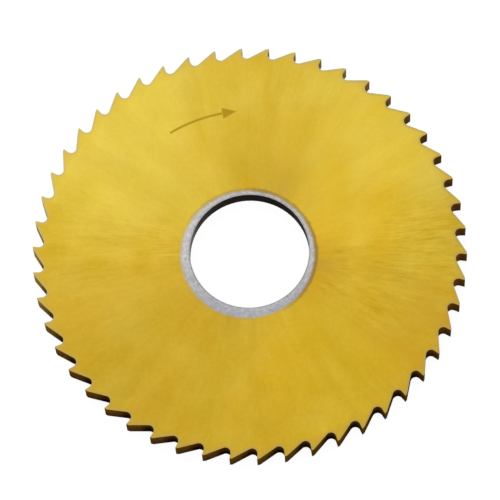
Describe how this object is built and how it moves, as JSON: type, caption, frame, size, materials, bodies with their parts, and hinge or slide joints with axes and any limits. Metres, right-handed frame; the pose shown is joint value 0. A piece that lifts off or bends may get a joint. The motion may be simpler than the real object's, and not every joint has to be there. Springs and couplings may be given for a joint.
{
  "type": "slitting saw",
  "caption": "Flat, hollow-ground disc cutter with straight saw teeth round its rim and a plain central bore, clamped on an arbor to cut slots and part off metal.",
  "frame": {"origin": "on the bore's axis, in the plane of the lower rim face", "axes": "+Z along the bore's axis, out of the upper face; +X through the tip of a tooth; seen from +Z the teeth face clockwise"},
  "size_m": [0.08, 0.0798, 0.004],
  "materials": {
    "coated_steel": "satin gold nitride coat over radially ground high-speed steel, with a bare steel ring round the bore and dark tooth flanks"
  },
  "bodies": {
    "root": {"saw_blade": "coated_steel"}
  },
  "joints": []
}
